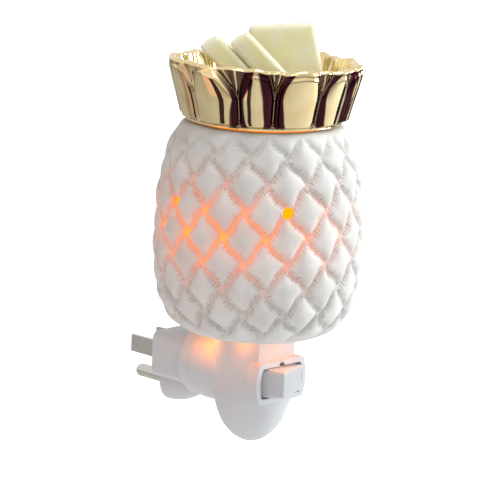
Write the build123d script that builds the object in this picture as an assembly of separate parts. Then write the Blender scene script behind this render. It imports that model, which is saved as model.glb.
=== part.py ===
from build123d import *
import math
import os

# Plug-in wax melt warmer with a quilted ceramic shade and a petal dish on top.
# Lengths are millimetres. The origin is the middle of the plug's back face, on the blade line.
# +X is to the right seen from the room, +Y goes into the wall, +Z is up.

os.makedirs("parts", exist_ok=True)

# Common clearances and angles
quarter_turn = 90.0
half_turn = 180.0
full_turn = 360.0
overrun = 5.0
slide_gap = 0.1
seam_gap = 0.2
seat_gap = 0.05

# Plug: standard blades and ground pin, and the block that carries them
blade_pitch = 12.7
blade_thick = 1.5
blade_hot_width = 6.35
blade_neutral_width = 7.94
blade_length = 16.5
blade_tip_round = 0.6
ground_radius = 2.38
ground_drop = 11.89
ground_length = 19.0
ground_shank_radius = 1.9
ground_relief = 0.4
plug_width = 24.4
plug_height = 17.0
plug_depth = 15.4
plug_corner = 3.0
plug_edge_round = 0.8
lobe_radius = 7.3
lobe_bulge_share = 0.76
lobe_bulge_depth_share = 0.55
lobe_nose_share = 0.2
end_round_share = 0.76

# Swivel: collar on the plug, neck on the warmer, spigot through the neck's end wall
collar_radius = 13.8
collar_length = 5.6
collar_round = 0.5
neck_radius = 13.9
neck_wall = 2.0
neck_end_wall = 2.5
spigot_radius = 8.6
washer_radius = 10.6
washer_thick = 0.4
clip_radius = 10.6
clip_thick = 1.2
clip_depth = 1.1
clip_opening = 12.0
spigot_overhang = 1.1
ring_thick = 0.5
ring_width = 2.2

# Column and egg-shaped foot of the warmer
neck_run = 18.8
column_radius = 14.5
column_wall = 2.0
column_top = 15.0
egg_start_height = -2.8
egg_drop = 23.0
foot_shares = (0, 0.2, 0.4, 0.6, 0.8, 1)
deck_thick = 2.0
flat_distance = 11.2
corner_flat_distance = 14.37
corner_flat_turn = 47.0
screw_radius = 1.2
screw_head_radius = 2.4
screw_head_thick = 1.5
screw_slot = 0.6
screw_boss_radius = 2.6
screw_height = -17.6
screw_bite = 5.0

# Switch bezel, seen from the front as a barrel outline
switch_height = -0.85
bezel_stand = 14.1
bezel_depth = 8.6
bezel_side = 12.7
bezel_corner_side = 11.0
bezel_half_height = 7.45
bezel_corner = 1.2
opening_side = 10.6
opening_corner_side = 9.8
opening_half_height = 5.55
notch_radius = 1.4
pivot_depth = 3.0
trunnion_radius = 1.0
trunnion_length = 1.0

# Rocker, drawn level and then tilted to its rest
rocker_length = 15.5
rocker_height = 9.2
rocker_corner = 1.0
rocker_face_round = 0.7
rocker_face_offset = 6.9
rocker_depth = 9.0
rocker_draft = 6.0
rocker_tilt = 19.0
plunger_radius = 1.5
plunger_tip = 7.3
plunger_bore_depth = 6.0
spring_wall = 0.4
contact_tilt = 8.0
contact_length = 13.0
contact_width = 5.0
contact_thick = 0.6
contact_stand = 3.6

# Switch housing behind the bezel
housing_side = 10.2
housing_half_height = 6.2
housing_wall = 1.2
housing_inset = 2.8
terminal_width = 4.0
terminal_thick = 0.8
terminal_tail = 2.4
terminal_side = 6.6

# Brush plate and brushes that rub on the slip rings
brush_plate_thick = 1.6
brush_span = 2.45
brush_radius = 0.9
brush_tail = 1.0
lead_radius = 0.7
line_bend = 2.0
load_bend = 2.4
neutral_bend = 3.4
end_run_share = 0.9
middle_run_share = 0.48

# Lamp socket through the deck and the shade's floor
socket_radius = 9.0
socket_flange_radius = 11.8
socket_flange_thick = 2.0
socket_tail_radius = 7.4
socket_tail = 4.0
socket_height = 16.0
socket_bore_radius = 6.7
socket_shell_wall = 0.45
socket_floor = 1.4
contact_pin_radius = 1.2
contact_head_radius = 2.6
contact_head_thick = 0.8
shell_tab_width = 2.4
thread_pitch = 2.54
thread_depth = 0.35
thread_turns = 4
gasket_thick = 0.7
gasket_radius = 13.4
nut_radius = 13.0
nut_height = 4.0
nut_grips = 12
nut_grip_radius = 1.2

# Bulb: candelabra base and a torpedo envelope
bulb_base_radius = 5.75
bulb_base_height = 11.6
bulb_tip_height = 0.6
bulb_tip_radius = 1.9
bulb_insulator_height = 1.9
bulb_radius = 11.0
bulb_length = 40.5
bulb_glass_wall = 0.6
bulb_shares = ((0.48, 0.0), (0.76, 0.11), (1.0, 0.33), (0.94, 0.58), (0.62, 0.85), (0.25, 0.98))
stem_radius = 2.4
stem_height = 10.0
support_radius = 0.3
support_spread = 4.2
support_rise = 9.0
filament_radius = 0.25

# Ceramic shade: height and largest radius, and its outline as (radius share, height share)
shade_height = 74.6
shade_radius = 37.75
shade_wall = 3.6
shade_floor = 4.0
shade_lip = 3.4
shade_mouth_radius = 21.6
shade_outline_shares = (
    (0.675, 0.0), (0.775, 0.022), (0.862, 0.073), (0.93, 0.13), (0.967, 0.208), (0.997, 0.32),
    (0.996, 0.45), (0.98, 0.58), (0.96, 0.72), (0.918, 0.84), (0.866, 0.92), (0.812, 0.973), (0.731, 1.0))
shade_inner_shares = (
    (0.68, 0.0), (0.86, 0.06), (0.96, 0.16), (1.0, 0.32), (0.985, 0.5), (0.95, 0.72),
    (0.88, 0.88), (0.7, 1.0))
light_hole_radius = 2.15
light_hole_count = 5
light_hole_turn = -120.5
light_hole_height = 48.5
vent_radius = 3.0
vent_count = 6
vent_ring_radius = 19.0
foot_hole_gap = 0.6

# Wax dish: a bowl with a ring of upright petals
dish_gap = 0.9
dish_height = 21.2
dish_foot_radius = 28.4
dish_rim_radius = 34.2
dish_wall = 2.4
dish_floor = 2.8
dish_corner = 5.0
rim_round_share = 0.33
petal_thick = 1.25
petal_count = 12
petal_foot_width = 14.9
petal_shoulder_width = 17.0
petal_shoulder = 11.4
petal_tip = 20.4
petal_turn = -115.0
locating_ring_radius = 21.0
locating_ring_wall = 2.4
locating_ring_depth = 5.0
dish_pads = 3
dish_pad_radius = 1.6
dish_pad_ring_radius = 24.2

# Wax melts: two leaning slabs and an upright one, sides drafted as they leave a mould
wax_slab = (36.0, 8.0, 18.0)
wax_upright = (31.3, 29.0, 9.0)
wax_slab_draft_angle = 12.0
wax_upright_draft_angle = 8.0
wax_taper_angle = 4.0
wax_round = 1.8
wax_turn = -46.5
wax_lean_angle = 44.5
wax_back_lean_angle = -5.0
wax_front_offset = -12.0
wax_back_offset = 10.0
wax_front_centre = (-8.0, 17.3)
wax_middle_centre = (2.1, 18.7)
wax_back_centre = (6.1, 18.5)

# Places that follow from the sizes above
collar_face = -(plug_depth + collar_length)
neck_face = collar_face - seam_gap
neck_inner_face = neck_face - neck_end_wall
washer_back = neck_inner_face - washer_thick - seat_gap
clip_back = washer_back - clip_thick
spigot_end = clip_back - spigot_overhang
rings_face = spigot_end - ring_thick
reach = neck_run - neck_face
bezel_reach = reach + bezel_stand
pivot_reach = bezel_reach - pivot_depth
contact_reach = reach + contact_stand
housing_back = reach - housing_inset
brush_plate_reach = brush_span - rings_face
shade_bottom = column_top + gasket_thick
shade_top = shade_bottom + shade_height
dish_bottom = shade_top + dish_gap
socket_top = shade_bottom + shade_floor + nut_height + (socket_height - shade_floor - nut_height) / 2
socket_flange_top = column_top - deck_thick
socket_flange_bottom = socket_flange_top - socket_flange_thick
socket_bottom = socket_flange_bottom - socket_tail
bulb_bottom = socket_flange_bottom + socket_floor + contact_head_thick + seat_gap


def block(x, y, z):
    """A box between three pairs of bounds."""
    size = [high - low for low, high in (x, y, z)]
    middle = [(high + low) / 2 for low, high in (x, y, z)]
    return Pos(*middle) * Box(*size)


def rod(radius, start, end):
    """A round bar from one point to another."""
    along = Vector(*end) - Vector(*start)
    bar = Cylinder(radius, along.length, align=(Align.CENTER, Align.CENTER, Align.MIN))
    return Plane(origin=start, z_dir=along) * bar


def rod_y(radius, y_from, y_to, x=0, z=0):
    """A round bar along Y."""
    return rod(radius, (x, y_from, z), (x, y_to, z))


def rod_z(radius, z_from, z_to, x=0, y=0):
    """A round bar along Z."""
    return rod(radius, (x, y, z_from), (x, y, z_to))


def front_plane(y, z=0):
    """A drawing plane that faces the room."""
    return Plane(origin=(0, y, z), x_dir=(1, 0, 0), z_dir=(0, -1, 0))


def wall_ward(sketch, y_from, y_to, z=0):
    """A front-view sketch drawn out from y_from to y_to."""
    return extrude(front_plane(y_from, z) * sketch, amount=y_from - y_to)


def turned_outline(points):
    """A solid turned from a straight-sided half section."""
    return revolve(make_face(Plane.XZ * Polyline(*points, close=True)), axis=Axis.Z)


def on_column(shape):
    """Moves a shape from the origin's upright axis to the column's."""
    return Pos(0, -reach, 0) * shape


def polar(radius, degrees, z=0):
    """A point on a circle about the upright axis."""
    angle = math.radians(degrees)
    return (radius * math.cos(angle), radius * math.sin(angle), z)


def save(node, shape):
    """Writes one node, as one solid or as a group of them."""
    solids = shape.solids()
    export_step(solids[0] if len(solids) == 1 else Compound(children=solids), "parts/" + node + ".step")


# Plug
def blade(side, width):
    """One flat blade with its tail through the plug and the spigot to its slip ring."""
    x = side * blade_pitch / 2
    half_thick = blade_thick / 2
    flat = block((x - half_thick, x + half_thick), (-plug_depth / 2, blade_length), (-width / 2, width / 2))
    tip = flat.edges().filter_by(Axis.Z).group_by(Axis.Y)[-1]
    return fillet(tip, blade_tip_round)


def blade_tail(side, ring_radius):
    """The strip that joins a blade to its slip ring."""
    x = side * blade_pitch / 2
    x_ring = side * ring_radius
    half_thick = blade_thick / 2
    bend = -plug_depth / 2
    low, high = min(x, x_ring) - half_thick, max(x, x_ring) + half_thick
    across = block((low, high), (bend - blade_thick, bend), (-half_thick, half_thick))
    along = block((x_ring - half_thick, x_ring + half_thick), (spigot_end, bend - blade_thick),
                  (-half_thick, half_thick))
    return across + along


def slip_ring(radius):
    """A flat ring on the spigot's end."""
    return rod_y(radius + ring_width / 2, rings_face, spigot_end) - rod_y(
        radius - ring_width / 2, rings_face - overrun, spigot_end + overrun)


hot_ring_radius = blade_pitch / 2
neutral_ring_radius = hot_ring_radius - ring_width - 2 * ring_thick
blade_hot = blade(-1, blade_hot_width) + blade_tail(-1, hot_ring_radius)
blade_neutral = blade(1, blade_neutral_width) + blade_tail(1, neutral_ring_radius)
slip_ring_hot = slip_ring(hot_ring_radius)
slip_ring_neutral = slip_ring(neutral_ring_radius)
ground_pin = rod_y(ground_radius, 0, ground_length, z=-ground_drop)
ground_pin = fillet(ground_pin.faces().sort_by(Axis.Y)[-1].edges(), ground_radius * end_round_share)
ground_pin += rod_y(ground_shank_radius, -plug_depth / 2, 0, z=-ground_drop)


def plug_lobe():
    """The rounded boss that carries the ground pin."""
    bulge = (lobe_radius * lobe_bulge_share, plug_depth * lobe_bulge_depth_share)
    nose = (lobe_radius * lobe_nose_share, plug_depth)
    side = ThreePointArc((lobe_radius, 0), bulge, nose)
    front = Line(nose, (0, plug_depth))
    axis_line = Line((0, plug_depth), (0, 0))
    back = Line((0, 0), (lobe_radius, 0))
    half = make_face(Curve() + [side, front, axis_line, back])
    return Pos(0, 0, -ground_drop) * Rot(0, 0, half_turn) * revolve(half, axis=Axis.Y)


def make_plug_body():
    """Block, lobe, collar and spigot as one moulding round the blades."""
    outline = RectangleRounded(plug_width, plug_height, plug_corner)
    body = wall_ward(outline, -plug_depth, 0)
    body = fillet(body.faces().sort_by(Axis.Y)[-1].edges(), plug_edge_round)
    collar = fillet(rod_y(collar_radius, collar_face, -plug_depth).edges(), collar_round)
    body += plug_lobe() + collar + rod_y(spigot_radius, spigot_end, collar_face)
    body -= rod_y(clip_radius, clip_back, washer_back) - rod_y(
        spigot_radius - clip_depth, clip_back - overrun, washer_back + overrun)
    body -= rod_y(ground_radius + seat_gap, -ground_relief, overrun, z=-ground_drop)
    return body - blade_hot - blade_neutral - ground_pin


plug_body = make_plug_body()
swivel_washer = rod_y(washer_radius, washer_back, neck_inner_face - seat_gap) - rod_y(
    spigot_radius + seat_gap, washer_back - overrun, neck_inner_face + overrun)
swivel_clip = rod_y(clip_radius, clip_back, washer_back) - rod_y(
    spigot_radius - clip_depth, clip_back - overrun, washer_back + overrun)
swivel_clip -= block((-clip_opening / 2, clip_opening / 2), (clip_back - overrun, washer_back + overrun),
                     (0, clip_radius + overrun))


# Warmer body shells
def egg_column(radius, drop, top):
    """A round column on an egg-shaped foot, about the upright axis."""
    angles = [quarter_turn * (share - 1) for share in foot_shares]
    points = [(polar(radius, angle)[0], egg_start_height + polar(drop, angle)[1]) for angle in angles]
    foot = Spline(*points, tangents=((1, 0), (0, 1)))
    side = Line((radius, egg_start_height), (radius, top))
    lid = Line((radius, top), (0, top))
    axis_line = Line((0, top), points[0])
    half = Plane.XZ * make_face(Curve() + [foot, side, lid, axis_line])
    return Rot(0, 0, quarter_turn) * revolve(half, axis=Axis.Z)


def barrel(side, corner_side, half_height):
    """A front-view outline with straight top and bottom and bowed sides."""
    right = ThreePointArc((corner_side, -half_height), (side, 0), (corner_side, half_height))
    left = ThreePointArc((-corner_side, half_height), (-side, 0), (-corner_side, -half_height))
    top = Line((corner_side, half_height), (-corner_side, half_height))
    bottom = Line((-corner_side, -half_height), (corner_side, -half_height))
    return fillet(make_face(Curve() + [right, top, left, bottom]).vertices(), bezel_corner)


def make_shells():
    """The two halves of the casing, parted at the column's middle plane."""
    casing = on_column(egg_column(column_radius, egg_drop, column_top))
    front = -reach - column_radius - overrun
    casing -= block((-column_radius, column_radius), (front, -reach - flat_distance),
                    (switch_height, column_top + overrun))
    for side in (-1, 1):
        corner = block((corner_flat_distance, corner_flat_distance + overrun),
                       (-column_radius, column_radius), (switch_height, column_top + overrun))
        casing -= on_column(Rot(0, 0, -quarter_turn + side * corner_flat_turn) * corner)
    casing += rod_y(neck_radius, -reach - seam_gap, neck_face)
    inner = column_radius - column_wall
    cavity = on_column(egg_column(inner, egg_drop - column_wall, socket_flange_top))
    cavity -= block((-inner, inner), (-reach - inner, -reach - flat_distance + column_wall),
                    (switch_height, column_top))
    cavity += rod_y(neck_radius - neck_wall, -reach - seam_gap, neck_inner_face)
    boss_back = -reach + column_radius + overrun
    boss = rod_y(screw_boss_radius, -reach - column_radius, boss_back, z=screw_height)
    casing = casing - (cavity - boss)
    casing -= rod_y(spigot_radius + slide_gap, neck_inner_face - overrun, neck_face + overrun)
    casing -= rod_z(socket_radius + slide_gap, socket_flange_top - overrun, column_top + overrun, y=-reach)
    casing -= shell_screw_at(seat_gap)
    casing -= rod_y(screw_head_radius + seat_gap, screw_seat, boss_back, z=screw_height)
    casing -= wall_ward(barrel(bezel_side, bezel_corner_side, bezel_half_height), -bezel_reach - overrun,
                        -bezel_reach + bezel_depth, switch_height)
    span = 2 * reach
    rear = casing & block((-span, span), (-reach, overrun), (-span, span))
    fore = casing & block((-span, span), (-span, -reach), (-span, span))
    return rear, fore


screw_seat = -reach + column_radius / 2


def shell_screw_at(gap):
    """The screw that joins the shells, or with a gap the room for its shank."""
    return rod_y(screw_radius + gap, -reach - screw_bite, screw_seat, z=screw_height)


shell_screw = shell_screw_at(0) + rod_y(
    screw_head_radius, screw_seat, screw_seat + screw_head_thick, z=screw_height)
slot = block((-screw_head_radius, screw_head_radius),
             (screw_seat + screw_head_thick / 2, screw_seat + overrun),
             (screw_height - screw_slot / 2, screw_height + screw_slot / 2))
shell_screw -= slot
rear_shell, front_shell = make_shells()


# Switch
def make_bezel():
    """The frame round the rocker, with the holes that its trunnions turn in."""
    back = -bezel_reach + bezel_depth
    outline = barrel(bezel_side, bezel_corner_side, bezel_half_height)
    frame = wall_ward(outline, -bezel_reach, back, switch_height)
    opening = barrel(opening_side, opening_corner_side, opening_half_height)
    frame -= wall_ward(opening, -bezel_reach - overrun, back + overrun, switch_height)
    hole_half = opening_half_height + trunnion_length + seam_gap
    frame -= rod_z(trunnion_radius + seat_gap, switch_height - hole_half, switch_height + hole_half,
                   y=-pivot_reach)
    notch_level = switch_height + opening_half_height
    frame -= rod_y(notch_radius, -bezel_reach - overrun, -pivot_reach, z=notch_level)
    return frame


rocker_back = rocker_depth - rocker_face_offset
bore_end = rocker_back - plunger_bore_depth


def make_rocker():
    """The tapered key with its trunnions and the bore for the plunger, tilted to rest."""
    face = RectangleRounded(rocker_length, rocker_height, rocker_corner)
    key = extrude(front_plane(-rocker_face_offset) * face, amount=-rocker_depth, taper=-rocker_draft)
    key = fillet(key.faces().sort_by(Axis.Y)[0].edges(), rocker_face_round)
    half = opening_half_height + trunnion_length
    key += rod_z(trunnion_radius, -half, half)
    return key - rod_y(plunger_radius + spring_wall + slide_gap, bore_end, rocker_back + overrun)


def at_rocker(shape):
    """Puts a piece drawn about the rocker's pivot at its place and tilt."""
    return Pos(0, -pivot_reach, switch_height) * Rot(0, 0, rocker_tilt) * shape


spring_end = rocker_back + plunger_radius
rocker = at_rocker(make_rocker())
plunger_shape = rod_y(plunger_radius, bore_end + plunger_radius, plunger_tip)
plunger_shape = fillet(plunger_shape.faces().sort_by(Axis.Y)[-1].edges(), plunger_radius * end_round_share)
head_start = plunger_tip - 2 * plunger_radius
plunger_shape += rod_y(plunger_radius + spring_wall, spring_end, head_start)
rocker_plunger = at_rocker(plunger_shape)
spring_shape = rod_y(plunger_radius + spring_wall, bore_end, spring_end) - rod_y(
    plunger_radius, bore_end - overrun, spring_end)
rocker_spring = at_rocker(spring_shape)
switch_bezel = make_bezel()


def make_housing():
    """The box behind the bezel that holds the contacts."""
    front = -bezel_reach + bezel_depth
    x = (-housing_side, housing_side)
    z = (switch_height - housing_half_height, switch_height + housing_half_height)
    shell = block(x, (front, -housing_back), z)
    x_in = (-housing_side + housing_wall, housing_side - housing_wall)
    z_in = (z[0] + housing_wall, z[1] - housing_wall)
    shell -= block(x_in, (front - overrun, -housing_back - housing_wall), z_in)
    return shell


contact_bar = block((-contact_length / 2, contact_length / 2), (0, contact_thick),
                    (-contact_width / 2, contact_width / 2))
contact_bar = Pos(0, -contact_reach, switch_height) * Rot(0, 0, -contact_tilt) * contact_bar


def terminal(x, top):
    """A strip through the housing's back wall, standing up to its contact."""
    half_thick = terminal_thick / 2
    z = (switch_height - terminal_width / 2, switch_height + terminal_width / 2)
    return block((x - half_thick, x + half_thick), (top, -housing_back + terminal_tail), z)


bar_drop = (contact_thick + seam_gap) / math.cos(math.radians(contact_tilt))
line_top = -contact_reach + bar_drop
load_top = line_top + terminal_side * math.tan(math.radians(contact_tilt))
terminal_line = terminal(0, line_top)
terminal_load = terminal(-terminal_side, load_top + terminal_thick * math.tan(math.radians(contact_tilt)))
switch_housing = make_housing() - terminal_line - terminal_load

# Brush plate in the neck, with a sprung brush for each slip ring
plate_back = -brush_plate_reach - brush_plate_thick
brush_plate = rod_y(neck_radius - neck_wall - slide_gap, plate_back, -brush_plate_reach)


def brush(x, z):
    """A sprung pin through the brush plate, rubbing on a slip ring."""
    pin = rod_y(brush_radius, plate_back - brush_tail, rings_face - slide_gap, x=x, z=z)
    foot = rod_y(2 * brush_radius, -brush_plate_reach, -brush_plate_reach + ring_thick, x=x, z=z)
    return pin + foot


brush_hot = brush(-hot_ring_radius, 0)
brush_neutral = brush(neutral_ring_radius, 0)
brush_plate = brush_plate - brush_hot - brush_neutral
brush_plate -= block((-neck_radius, neck_radius), (plate_back - overrun, neck_face),
                     (socket_bottom - brush_tail - seam_gap, neck_radius))

# Lamp socket, its screw shell and centre contact
socket_floor_top = socket_flange_bottom + socket_floor


def threaded_wall(inner, outer, start, turns):
    """A thin wall with rounded thread ridges, as half sections round the upright axis."""
    points_out, points_in = [], []
    for step in range(2 * turns + 1):
        z = start + step * thread_pitch / 2
        swell = thread_depth if step % 2 else 0
        points_out.append((outer + swell, z))
        points_in.append((inner + swell, z))
    return turned_outline(points_out + points_in[::-1])


def make_socket():
    """The moulded body, the brass screw shell with its tab, and the centre contact."""
    body = turned_outline([
        (0, socket_bottom), (socket_tail_radius, socket_bottom), (socket_tail_radius, socket_flange_bottom),
        (socket_flange_radius, socket_flange_bottom), (socket_flange_radius, socket_flange_top),
        (socket_radius, socket_flange_top), (socket_radius, socket_top), (0, socket_top)])
    body -= rod_z(socket_bore_radius + thread_depth, socket_floor_top, socket_top + overrun)
    inner = socket_bore_radius - socket_shell_wall
    shell = threaded_wall(inner, socket_bore_radius, socket_floor_top, thread_turns)
    shell_top = socket_floor_top + thread_turns * thread_pitch
    lip = rod_z(socket_bore_radius, shell_top, socket_top) - rod_z(
        inner, shell_top - overrun, socket_top + overrun)
    half_tab = shell_tab_width / 2
    tab = block((inner, socket_bore_radius), (-half_tab, half_tab),
                (socket_bottom - brush_tail, socket_floor_top + socket_shell_wall))
    shell = shell + lip + tab
    contact = rod_z(contact_pin_radius, socket_bottom - brush_tail, socket_floor_top) + rod_z(
        contact_head_radius, socket_floor_top, socket_floor_top + contact_head_thick)
    flat = flat_distance - column_wall
    body -= block((-column_radius, column_radius), (-column_radius, -flat),
                  (socket_flange_bottom, socket_flange_top))
    body = body - tab - contact
    return on_column(body), on_column(shell), on_column(contact)


socket_body, socket_screw_shell, socket_contact = make_socket()


# Leads between the brushes, the switch terminals and the socket
def lead(points, bend):
    """A round insulated wire of straight runs with tangent arcs, no wider than its runs have room for."""
    runs = [(Vector(*end) - Vector(*start)).length for start, end in zip(points, points[1:])]
    room = [run * end_run_share for run in (runs[0], runs[-1])]
    room += [run * middle_run_share for run in runs[1:-1]]
    path = FilletPolyline(*points, radius=min([bend] + room))
    return sweep(Plane(origin=points[0], z_dir=path % 0) * Circle(lead_radius), path=path)


lead_back = plate_back - lead_radius - slide_gap
terminal_middle = -housing_back + terminal_tail / 2
lead_level = socket_bottom - lead_radius - slide_gap
line_x = -hot_ring_radius / 2
lead_line = lead([
    (-hot_ring_radius + brush_radius, lead_back, 0), (line_x, lead_back, 0),
    (line_x, terminal_middle, 0), (-terminal_thick / 2, terminal_middle, 0)], line_bend)
to_pin = Vector(terminal_side, -reach - terminal_middle, 0).normalized() * contact_pin_radius
lead_load = lead([
    (-terminal_side, terminal_middle, switch_height + terminal_width / 2),
    (-terminal_side, terminal_middle, lead_level), (-to_pin.X, -reach - to_pin.Y, lead_level)], load_bend)
tab_x = socket_bore_radius - socket_shell_wall / 2
lead_neutral = lead([
    (neutral_ring_radius, lead_back, brush_radius), (neutral_ring_radius, lead_back, lead_level),
    (tab_x, -reach + shell_tab_width / 2 + lead_radius / 2, lead_level)], neutral_bend)
print("lead bend radii", line_bend, load_bend, neutral_bend)

shade_gasket = on_column(rod_z(gasket_radius, column_top, shade_bottom) - rod_z(
    socket_radius + slide_gap, column_top - overrun, shade_bottom + overrun))


def make_ring_nut():
    """The knurled ring that clamps the shade's floor to the deck."""
    bottom = shade_bottom + shade_floor
    nut = rod_z(nut_radius, bottom, bottom + nut_height)
    nut -= rod_z(socket_radius + seat_gap, bottom - overrun, bottom + nut_height + overrun)
    for grip in range(nut_grips):
        x, y, _ = polar(nut_radius, grip * full_turn / nut_grips)
        nut -= rod_z(nut_grip_radius, bottom - overrun, bottom + nut_height + overrun, x, y)
    return on_column(nut)


shade_ring_nut = make_ring_nut()


# Bulb
def bulb_outline(wall):
    """The envelope's solid, drawn in by a wall thickness."""
    base = bulb_bottom + bulb_tip_height + bulb_insulator_height + bulb_base_height
    points = [((bulb_radius * r) - wall, base + bulb_length * h) for r, h in bulb_shares]
    tip = (0, base + bulb_length - wall)
    side = Spline(*points, tip, tangents=((0, 1), (-1, 0)))
    low = (points[0][0], base - bulb_tip_height)
    edges = [side, Line(tip, (0, low[1])), Line((0, low[1]), low), Line(low, points[0])]
    return revolve(Plane.XZ * make_face(Curve() + edges), axis=Axis.Z), base


def make_bulb():
    """Envelope, brass base, glass insulator, tip contact, stem, supports and filament."""
    outer, base = bulb_outline(0)
    inner, _ = bulb_outline(bulb_glass_wall)
    foot = base - bulb_tip_height
    glass = outer - inner
    shell_foot = foot - bulb_base_height + bulb_tip_height
    inside = bulb_base_radius - socket_shell_wall
    wall = threaded_wall(inside - thread_depth, bulb_base_radius - thread_depth, shell_foot, thread_turns)
    wall_top = shell_foot + thread_turns * thread_pitch
    collar = rod_z(bulb_base_radius, wall_top, base) - rod_z(inside, wall_top - overrun, base + overrun)
    collar += rod_z(bulb_base_radius, wall_top, wall_top + socket_shell_wall / 2) - rod_z(
        inside - thread_depth, wall_top - overrun, base + overrun)
    insulator_foot = bulb_bottom + bulb_tip_height
    insulator = turned_outline([
        (0, insulator_foot), (bulb_tip_radius, insulator_foot), (inside - thread_depth, shell_foot),
        (inside - thread_depth, shell_foot + bulb_tip_height), (0, shell_foot + bulb_tip_height)])
    tip = rod_z(bulb_tip_radius, bulb_bottom, insulator_foot)
    tip = fillet(tip.faces().sort_by(Axis.Z)[0].edges(), bulb_tip_height * end_round_share)
    stem_foot = base - bulb_tip_height
    disc = rod_z(bulb_outline_neck, stem_foot - bulb_glass_wall, stem_foot)
    stem = disc + rod_z(stem_radius, stem_foot, base + stem_height)
    top = base + stem_height
    supports = Part()
    for side in (-1, 1):
        x = side * support_spread
        supports += rod(support_radius, (side * stem_radius / 2, 0, top), (x, 0, top + support_rise))
    supports -= stem
    level = top + support_rise + filament_radius + slide_gap
    filament = rod(filament_radius, (-support_spread, 0, level), (support_spread, 0, level))
    pieces = (glass, wall + collar, insulator, tip, stem, supports, filament)
    return [on_column(piece) for piece in pieces]


bulb_outline_neck = bulb_radius * bulb_shares[0][0]
(bulb_glass, bulb_screw_base, bulb_insulator, bulb_tip_contact, bulb_stem, bulb_supports,
 bulb_filament) = make_bulb()


# Shade
def turned_spline(points, floor, lip):
    """A solid turned from a curved side between a flat floor and a flat top."""
    side = Spline(*points)
    edges = [side, Line(points[-1], (0, lip)), Line((0, lip), (0, floor)), Line((0, floor), points[0])]
    return revolve(Plane.XZ * make_face(Curve() + edges), axis=Axis.Z)


def make_shade():
    """The hollow ceramic shade with its mouth, foot hole, vents and light holes."""
    outline = [(shade_radius * r, shade_bottom + shade_height * h) for r, h in shade_outline_shares]
    shade = turned_spline(outline, shade_bottom, shade_top)
    inner_radius = shade_radius - shade_wall
    low = shade_bottom + shade_floor
    high = shade_top - shade_lip
    inside = [(inner_radius * r, low + (high - low) * h) for r, h in shade_inner_shares]
    shade -= turned_spline(inside, low, high)
    shade -= rod_z(shade_mouth_radius, high - overrun, shade_top + overrun)
    shade -= rod_z(socket_radius + foot_hole_gap, shade_bottom - overrun, low + overrun)
    for vent in range(vent_count):
        x, y, _ = polar(vent_ring_radius, quarter_turn + vent * full_turn / vent_count)
        shade -= rod_z(vent_radius, shade_bottom - overrun, low + overrun, x, y)
    z = shade_bottom + light_hole_height
    for hole in range(light_hole_count):
        turn = light_hole_turn + hole * full_turn / light_hole_count
        shade -= rod(light_hole_radius, polar(inner_radius - 2 * shade_wall, turn, z),
                     polar(shade_radius + overrun, turn, z))
    return on_column(shade)


ceramic_shade = make_shade()


# Dish and wax
def petal_outline():
    """One petal seen square on: straight foot, spreading sides and a round arch on top."""
    foot, shoulder = petal_foot_width / 2, petal_shoulder_width / 2
    arch = ThreePointArc((shoulder, petal_shoulder), (0, petal_tip), (-shoulder, petal_shoulder))
    edges = [Line((-foot, 0), (foot, 0)), Line((foot, 0), (shoulder, petal_shoulder)), arch,
             Line((-shoulder, petal_shoulder), (-foot, 0))]
    return make_face(Curve() + edges)


def make_dish():
    """The bowl with its petals, the ring that locates it and the pads that it stands on."""
    inner_foot, inner_rim = dish_foot_radius - dish_wall, dish_rim_radius - dish_wall
    bowl = turned_outline([(0, 0), (dish_foot_radius, 0), (dish_rim_radius, dish_height), (0, dish_height)])
    slope = (inner_rim - inner_foot) / dish_height
    floor_radius = inner_foot + slope * dish_floor
    hollow_top = dish_height + overrun
    hollow = turned_outline([
        (0, dish_floor), (floor_radius, dish_floor),
        (inner_rim + slope * overrun, hollow_top), (0, hollow_top)])
    hollow = fillet(hollow.faces().sort_by(Axis.Z)[0].edges(), dish_corner)
    bowl -= hollow
    bowl = fillet(bowl.faces().sort_by(Axis.Z)[-1].edges(), dish_wall * rim_round_share)
    sleeve = turned_outline([
        (dish_foot_radius - petal_thick, 0), (dish_foot_radius + petal_thick, 0),
        (dish_rim_radius + petal_thick, dish_height), (dish_rim_radius - petal_thick, dish_height)])
    for petal in range(petal_count):
        prism = extrude(front_plane(-dish_foot_radius / 2) * petal_outline(), amount=dish_rim_radius)
        bowl += Rot(0, 0, quarter_turn + petal_turn + petal * full_turn / petal_count) * (sleeve & prism)
    ring = rod_z(locating_ring_radius, -locating_ring_depth, 0) - rod_z(
        locating_ring_radius - locating_ring_wall, -locating_ring_depth - overrun, 0)
    bowl += ring
    for pad in range(dish_pads):
        x, y, _ = polar(dish_pad_ring_radius, petal_turn + pad * full_turn / dish_pads)
        bowl += rod_z(dish_pad_radius, -dish_gap + seat_gap, 0, x, y)
    return Pos(0, 0, dish_bottom) * on_column(bowl)


wax_dish = make_dish()


def wax_block(size, draft, centre, offset, lean):
    """One rounded block, placed by its height and its places across and along the lean."""
    width, height, depth = size
    top = width - 2 * height * math.tan(math.radians(draft))
    face = make_face(Polyline((-width / 2, -height / 2), (width / 2, -height / 2), (top / 2, height / 2),
                              (-top / 2, height / 2), close=True))
    shape = extrude(front_plane(depth / 2) * face, amount=depth, taper=wax_taper_angle)
    shape = Rot(0, 0, half_turn) * shape
    shape = fillet(shape.edges(), wax_round)
    across, level = centre
    spot = Pos(0, -reach, dish_bottom) * Rot(0, 0, wax_turn) * Pos(across, offset, level)
    return spot * Rot(0, lean, 0) * shape


wax_melt_1 = wax_block(
    wax_slab, wax_slab_draft_angle, wax_front_centre, wax_front_offset, wax_lean_angle)
wax_melt_2 = wax_block(
    wax_slab, wax_slab_draft_angle, wax_middle_centre, wax_front_offset, wax_lean_angle)
wax_melt_3 = wax_block(
    wax_upright, wax_upright_draft_angle, wax_back_centre, wax_back_offset, wax_back_lean_angle)

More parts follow.
